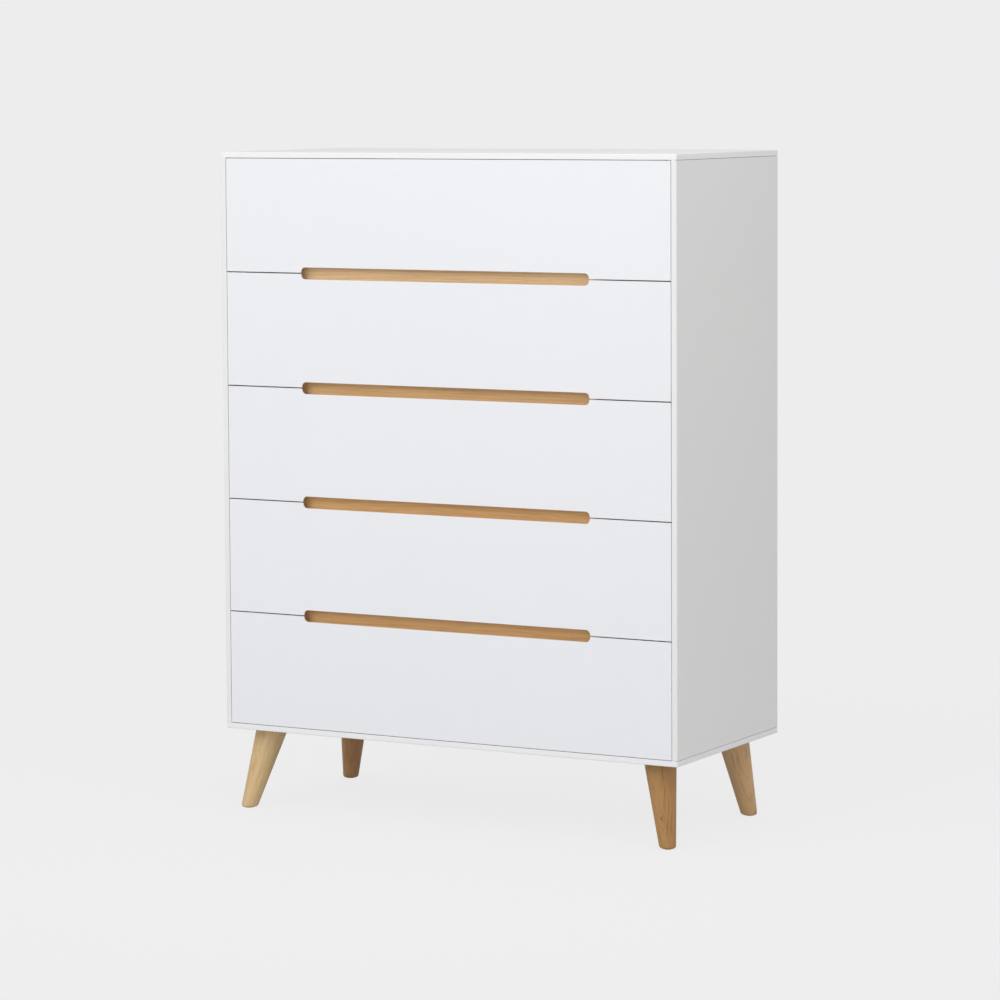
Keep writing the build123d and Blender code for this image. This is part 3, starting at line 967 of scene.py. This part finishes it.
# ---------------------------------------------------------------- drawers
@dataclass
class Drawers:
    """Fronts with half a finger slot in their edges, and the boxes behind them."""

    lacquer: Finish = Lacquer(slot=Slot.FRONT_LACQUER, colour=(0.775, 0.783, 0.81))
    foil: Finish = FoilBoard()
    foil_across: Finish = FoilBoard(run=(0.12, 1.0, 1.0))
    slot_length: float = 570 * MM
    slot_height: float = 21 * MM
    slot_radius: float = 8 * MM
    slot_land: float = 3 * MM
    slot_undercut: float = 12 * MM
    slot_flare: float = 2.0 * MM
    edge_round: float = 1.0 * MM
    rim_round: float = 2.0 * MM
    groove_room: float = 0.2 * MM

    def build(self) -> None:
        """Build the fronts of each shape, then the boxes as copies of the first."""
        self.pitch = drawer_pitch()
        for number in DRAWERS:
            self._front(number)
        self._boxes()

    def _slot_cutter(self, middle_z: float, front_y: float, back_y: float) -> Piece:
        """Return the finger slot: a rounded block that flares out behind its rim."""
        half_x, half_z, spare = self.slot_length / 2, self.slot_height / 2, self.slot_land
        rim_y = front_y + self.slot_land
        cutter = Piece.block("slot", (-half_x, front_y - spare, middle_z - half_z),
                             (half_x, rim_y, middle_z + half_z))
        cutter.ease(along(Y_AXIS), self.slot_radius, 8)
        cutter.pull(lambda _, way: way.y > 0.99, (0, back_y - rim_y, 0))
        grow = 1 + self.slot_undercut / self.slot_radius
        for side in (-1, 1):
            for end in (-1, 1):
                heart = (side * (half_x - self.slot_radius), back_y,
                         middle_z + end * (half_z - self.slot_radius))
                cutter.swell(lambda place, _: place.y > back_y - TOUCHING and side * place.x > 0
                             and end * (place.z - middle_z) > 0, (grow, 1, grow), heart)
        cutter.pull(lambda _, way: way.y > 0.99, (0, spare, 0))
        return cutter

    def _front(self, number: int) -> None:
        """Build a drawer front, its finger notches and its eased edges."""
        node = f"drawer_front_{number}"
        low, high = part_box(node)
        gap = self.pitch - (high.z - low.z)
        front = Piece.block(f"lacquered_{node}", low, high)
        notched = []
        if number > DRAWERS[0]:
            notched.append((high.z + gap / 2, high.z))
        if number < DRAWERS[-1]:
            notched.append((low.z - gap / 2, low.z))
        for middle_z, edge_z in notched:
            front.carve(self._slot_cutter(middle_z, low.y, high.y))
        for middle_z, edge_z in notched:
            self._flare(front, edge_z, low.y)
        front.soften(self.edge_round, segments=4)
        front.fit(self.lacquer, f"drawer_{number}", [node])

    def _flare(self, front: Piece, edge_z: float, front_y: float) -> None:
        """Round the corners where a notch runs out into the front's edge."""
        reach = self.slot_length / 2 + self.slot_undercut + 1 * MM
        start = self.slot_length / 2 - 1 * MM
        front.ease(lambda middle, way: abs(middle.z - edge_z) < TOUCHING and abs(way.y) > 0.4
                   and start < abs(middle.x) < reach, self.slot_flare, 4)

    def _boxes(self) -> None:
        """Build the first drawer's box, and copy it down the chest."""
        floor_low, floor_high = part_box("drawer_bottom_1")
        room = Vector((self.groove_room,) * 3)
        models = []
        for stem, run, foil in (("drawer_side_left", Y_AXIS, self.foil),
                                ("drawer_side_right", Y_AXIS, self.foil),
                                ("drawer_back", X_AXIS, self.foil_across)):
            low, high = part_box(f"{stem}_1")
            board = Piece.block(stem, low, high)
            board.carve_block(floor_low - room, floor_high + room)
            board.ease(lambda middle, way: along(run)(middle, way) and middle.z > high.z - TOUCHING,
                       self.rim_round)
            board.soften(0.3 * MM)
            models.append((stem, "foil_", board, foil))
        floor = Piece.block("floor", floor_low, floor_high)
        floor.inset(lambda _, way: abs(way.z) > 0.99, 8 * MM)
        floor.soften(0.4 * MM)
        models.append(("drawer_bottom", "faced_", floor, self.foil_across))
        for stem, prefix, model, finish in models:
            for number in DRAWERS:
                node = f"{stem}_{number}"
                piece = model.copy(prefix + node, (0, 0, -self.pitch * (number - 1)))
                piece.fit(finish, f"drawer_{number}", [node])
            model.scrap()


# ---------------------------------------------------------------- slides
@dataclass
class Slides:
    """Ball bearing slides: three nested steel channels a side, with their ball cages."""

    steel_finish: Finish = RolledSteel()
    ball_finish: Finish = ZincFastener(colour=(0.78, 0.78, 0.80), stain=(0.66, 0.66, 0.66))
    steel: float = 1.2 * MM
    bend: float = 0.9 * MM
    race: float = 3.8 * MM
    ball_radius: float = 1.6 * MM
    balls_in_row: int = 9
    ball_pitch: float = 16 * MM
    cage_half: float = 0.3 * MM
    hole_radius: float = 2.6 * MM
    hole_shares: tuple[float, ...] = (0.12, 0.5, 0.88)

    def build(self) -> None:
        """Build the first pair of each channel, and copy it down the chest."""
        pitch = drawer_pitch()
        boxes = islands("slide_cabinet_members")
        top_left = max((box for box in boxes if box[0].x < 0), key=lambda box: box[1].z)
        middle_left = islands("slide_middle_members_1")[0]
        cabinet = self._pair("cabinet", *top_left, web_outside=True)
        middle = self._pair("middle", *middle_left, web_outside=True)
        inner = self._pair("inner", *islands("slide_drawer_members_1")[0], web_outside=False)
        balls = self._balls(*top_left, *middle_left)
        for number in DRAWERS:
            drop = (0, 0, -pitch * (number - 1))
            stands_for = ["slide_cabinet_members"] if number == DRAWERS[0] else []
            cabinet.copy(f"steel_cabinet_channels_{number}", drop).fit(
                self.steel_finish, "carcass", stands_for)
            middle.copy(f"steel_middle_channels_{number}", drop).fit(
                self.steel_finish, f"runner_{number}", [f"slide_middle_members_{number}"])
            inner.copy(f"steel_drawer_channels_{number}", drop).fit(
                self.steel_finish, f"drawer_{number}", [f"slide_drawer_members_{number}"])
            balls.copy(f"slide_balls_{number}", drop).fit(self.ball_finish, f"runner_{number}")
        for model in (cabinet, middle, inner, balls):
            model.scrap()

    def _pair(self, name: str, low: Vector, high: Vector, web_outside: bool) -> Piece:
        """Return left and right channels: a web whose long edges are turned in."""
        face, away = (low.x, 1) if web_outside else (high.x, -1)
        xs = sorted((face, face + away * self.steel))
        reach = (high.x - low.x) - self.steel
        channel = Piece.block(name, (xs[0], low.y, low.z), (xs[1], high.y, high.z))
        for height in (low.z + self.steel, high.z - self.steel):
            channel.score((0, 0, height), Z_AXIS)
        channel.pull(lambda place, way: way.x * away > 0.99
                     and not low.z + self.steel < place.z < high.z - self.steel, (away * reach, 0, 0))
        middle_z = (low.z + high.z) / 2
        through = X_AXIS * 4 * self.steel
        for share in self.hole_shares:
            place = Vector((face, low.y + (high.y - low.y) * share, middle_z))
            channel.carve(Piece.round_bar("hole", place - through, place + through,
                                          self.hole_radius, sides=20))
        channel.soften(0.3 * MM)
        return channel.join([channel.mirrored("other")])

    def _balls(self, cab_low: Vector, cab_high: Vector, mid_low: Vector, mid_high: Vector) -> Piece:
        """Return the ball rows between the cabinet's and the middle channels' edges."""
        rows = []
        x = (mid_low.x + self.steel + cab_high.x) / 2
        start = cab_low.y + (cab_high.y - cab_low.y) / 2 - self.ball_pitch * (self.balls_in_row - 1) / 2
        for z in (cab_low.z + self.steel + self.race / 2, cab_high.z - self.steel - self.race / 2):
            for place in range(self.balls_in_row):
                rows.append(Piece.ball("ball", (x, start + place * self.ball_pitch, z), self.ball_radius))
            cage_end = start + self.ball_pitch * (self.balls_in_row - 0.5)
            cage = Piece.block("cage", (x - self.cage_half, start - self.ball_pitch / 2, z - self.steel),
                               (x + self.cage_half, cage_end, z + self.steel))
            cage.ease(along(Y_AXIS), 0.15 * MM, 1)
            rows.append(cage)
        row = rows[0].join(rows[1:])
        row.soften()
        return row.join([row.mirrored("other_row")])


# ---------------------------------------------------------------- fasteners
@dataclass
class Fasteners:
    """Screws, cams, bolts and nuts that hold the chest together."""

    zinc: Finish = ZincFastener()
    cross_width: float = 0.9 * MM
    cross_depth: float = 1.0 * MM
    cam_slot: float = 1.4 * MM

    def build(self) -> None:
        """Build what shows of the fasteners, and dress the hidden ones."""
        self._screws("back_screws", Recess.PAN)
        self._screws("grip_screws", Recess.SUNK)
        self._cams()
        for node in ("cam_bolts", "leg_bolts", "tee_nuts"):
            dress(node, self.zinc)

    def _screws(self, node: str, recess: Recess) -> None:
        """Build one screw with its cross recess and copy it to every place."""
        places = islands(node)
        low, high = places[0]
        middle, radius = (low + high) / 2, (high.x - low.x) / 2
        shank_radius = radius / 2
        head = 1.8 * MM if recess is Recess.PAN else radius / 2
        head_start = high.y - head
        tip = (middle.x, low.y, middle.z)
        model = Piece.round_bar(node, (middle.x, head_start, middle.z), (middle.x, high.y, middle.z),
                                radius if recess is Recess.PAN else shank_radius, radius, 28)
        if recess is Recess.PAN:
            model.ease(lambda place, way: place.y > head_start + head / 2 and abs(way.y) < 0.5, 1.1 * MM, 4)
        arm = radius * 0.62
        for across in (Vector((arm, 0, self.cross_width / 2)), Vector((self.cross_width / 2, 0, arm))):
            model.carve_block((middle.x - across.x, high.y - self.cross_depth, middle.z - across.z),
                              (middle.x + across.x, high.y + head, middle.z + across.z))
        shank = Piece.round_bar("shank", (middle.x, head_start, middle.z), tip, shank_radius, 0.3 * MM, 16)
        model.soften(0.1 * MM, 1)
        shank.soften()
        model.join([shank])
        copies = [model.copy("screw", box[0] - low) for box in places[1:]]
        model.join(copies, f"{recess.value}_head_{node}").fit(self.zinc, "carcass", [node])

    def _cams(self) -> None:
        """Build the cam discs with their cross slots, facing out of their boards."""
        cams = []
        for low, high in islands("cam_locks"):
            middle, sizes = (low + high) / 2, high - low
            into_side = sizes.x < sizes.y
            thick = min(sizes.x, sizes.y)
            out = -X_AXIS * math.copysign(1, middle.x) if into_side else Y_AXIS
            across = Y_AXIS if into_side else X_AXIS
            face = middle + out * thick / 2
            cam = Piece.round_bar("cam", middle - out * thick / 2, face, sizes.z / 2, sides=32)
            for way in (across, Z_AXIS):
                other = Z_AXIS if way is across else across
                arm = way * sizes.z * 0.3 + other * self.cam_slot / 2 + out * 1.2 * MM
                cam.carve_block(*self._corners(face, arm))
            cam.soften(0.25 * MM, 1)
            cams.append(cam)
        cams[0].join(cams[1:], "slotted_cam_locks").fit(self.zinc, "carcass", ["cam_locks"])

    @staticmethod
    def _corners(centre: Vector, reach: Vector) -> tuple[Vector, Vector]:
        """Return the corners of a box about a centre."""
        size = Vector(abs(n) for n in reach)
        return centre - size, centre + size


# ---------------------------------------------------------------- studio
@dataclass
class Studio:
    """A pale seamless floor, soft light and the camera."""

    backdrop: float = 0.847
    sky: float = 0.72
    bounce: float = 0.66
    target_height: float = 0.62
    eye: tuple[float, float, float] = (3.3297, -6.0206, 1.2926)
    yaw: float = 0.50445
    pitch: float = -0.08086
    roll: float = -0.0053
    lens: float = 140.43
    sensor_width: float = 36.0
    rise: float = -0.1
    floor_size: float = 60.0

    def build(self) -> None:
        """Set up the floor, the light and the camera."""
        self._world()
        self._floors()
        self._lights()
        self._camera()
        bpy.context.scene.view_settings.view_transform = "Standard"

    def _world(self) -> None:
        """Light everything evenly from all round."""
        world = bpy.data.worlds.new("soft_sky")
        world.use_nodes = True
        sky = world.node_tree.nodes["Background"]
        sky.inputs["Color"].default_value = (self.sky, self.sky, self.sky * 1.01, 1.0)
        bpy.context.scene.world = world

    def _floors(self) -> None:
        """Lay the floor that is seen, the one that bounces light, and the backdrop."""
        deselect()
        bpy.ops.mesh.primitive_plane_add(size=self.floor_size, location=(0, 0, -0.0005))
        seen = bpy.context.object
        seen.name = "pale_floor"
        seen.data.materials.append(self._paper("floor_paper", share=0.08))
        bpy.ops.mesh.primitive_plane_add(size=self.floor_size, location=(0, 0, -0.004))
        bounce = bpy.context.object
        bounce.name = "bounce_floor"
        bounce.data.materials.append(self._bounce_paper())
        bpy.ops.mesh.primitive_uv_sphere_add(segments=64, ring_count=32, radius=self.floor_size * 0.6)
        dome = bpy.context.object
        dome.name = "backdrop_dome"
        dome.data.materials.append(self._paper("backdrop_paper", share=0.0))
        for thing in (seen, dome):
            thing.visible_diffuse = thing.visible_glossy = thing.visible_shadow = False
            thing.visible_transmission = False
        bounce.visible_camera = False

    def _paper(self, name: str, share: float) -> bpy.types.Material:
        """Return glowing paper, of which a share takes the light and shadow that fall on it."""
        recipe = Recipe(name)
        glow = recipe.node("Emission", sockets={"Color": (self.backdrop,) * 3})
        if share:
            here = recipe.place(stretch=(1, 1, 0))
            far = recipe.length(here)
            tooth = recipe.noise(recipe.place(), 60.0, 3.0)
            colour = recipe.shade(recipe.mix(0.5, (0.98,) * 3, (0.96,) * 3), 0.99 + tooth * 0.02)
            matt = recipe.node("BsdfDiffuse", sockets={"Color": colour})
            mask = (1 - far.ramp(0.7, 2.2)) * share
            glow = recipe.node("MixShader", sockets={0: mask, 1: glow, 2: matt})
            clear = recipe.node("BsdfTransparent")
            facing = recipe.node("NewGeometry", out="Backfacing")
            glow = recipe.node("MixShader", sockets={0: facing, 1: glow, 2: clear})
        recipe.node_output(glow)
        return recipe.material

    def _bounce_paper(self) -> bpy.types.Material:
        """Return the plain matt paper that bounces light up under the chest."""
        recipe = Recipe("bounce_paper")
        tooth = recipe.noise(recipe.place(), 40.0, 2.0)
        colour = recipe.shade((self.bounce,) * 3, 0.98 + tooth * 0.04)
        return recipe.surface(Base_Color=colour, Roughness=0.9)

    def _lights(self) -> None:
        """Hang the key in front and to the left, and a weak fill to the right."""
        self._panel("key_light", (-0.9, -3.6, 2.7), (2.6, 2.0), 63.0)
        self._panel("side_fill", (1.9, -1.3, 2.7), (1.2, 1.2), 17.5)

    def _panel(self, name: str, place: Sequence[float], size: Sequence[float], power: float) -> None:
        """Hang a soft light panel that faces the chest."""
        light = bpy.data.lights.new(name, "AREA")
        light.shape = "RECTANGLE"
        light.size, light.size_y = size
        light.energy = power
        thing = bpy.data.objects.new(name, light)
        bpy.context.scene.collection.objects.link(thing)
        thing.location = place
        aim = Vector((0, 0, self.target_height)) - Vector(place)
        thing.rotation_euler = aim.to_track_quat("-Z", "Y").to_euler()

    def _camera(self) -> None:
        """Stand the camera to the right of the front, a little above the middle."""
        view = bpy.data.cameras.new("camera")
        view.lens = self.lens
        view.sensor_width = self.sensor_width
        view.shift_y = self.rise
        view.clip_end = 3 * self.floor_size
        camera = bpy.data.objects.new("camera", view)
        bpy.context.scene.collection.objects.link(camera)
        camera.location = self.eye
        camera.rotation_euler = (math.pi / 2 + self.pitch, -self.roll, self.yaw)
        bpy.context.scene.camera = camera


def main() -> None:
    """Build every sub-assembly in order, then the studio."""
    logging.basicConfig(level=logging.INFO, format="%(message)s")
    for assembly in (Carcass(), GripBars(), Legs(), Drawers(), Slides(), Fasteners(), Studio()):
        log.info("building %s", type(assembly).__name__)
        assembly.build()


if __name__ == "__main__":
    main()
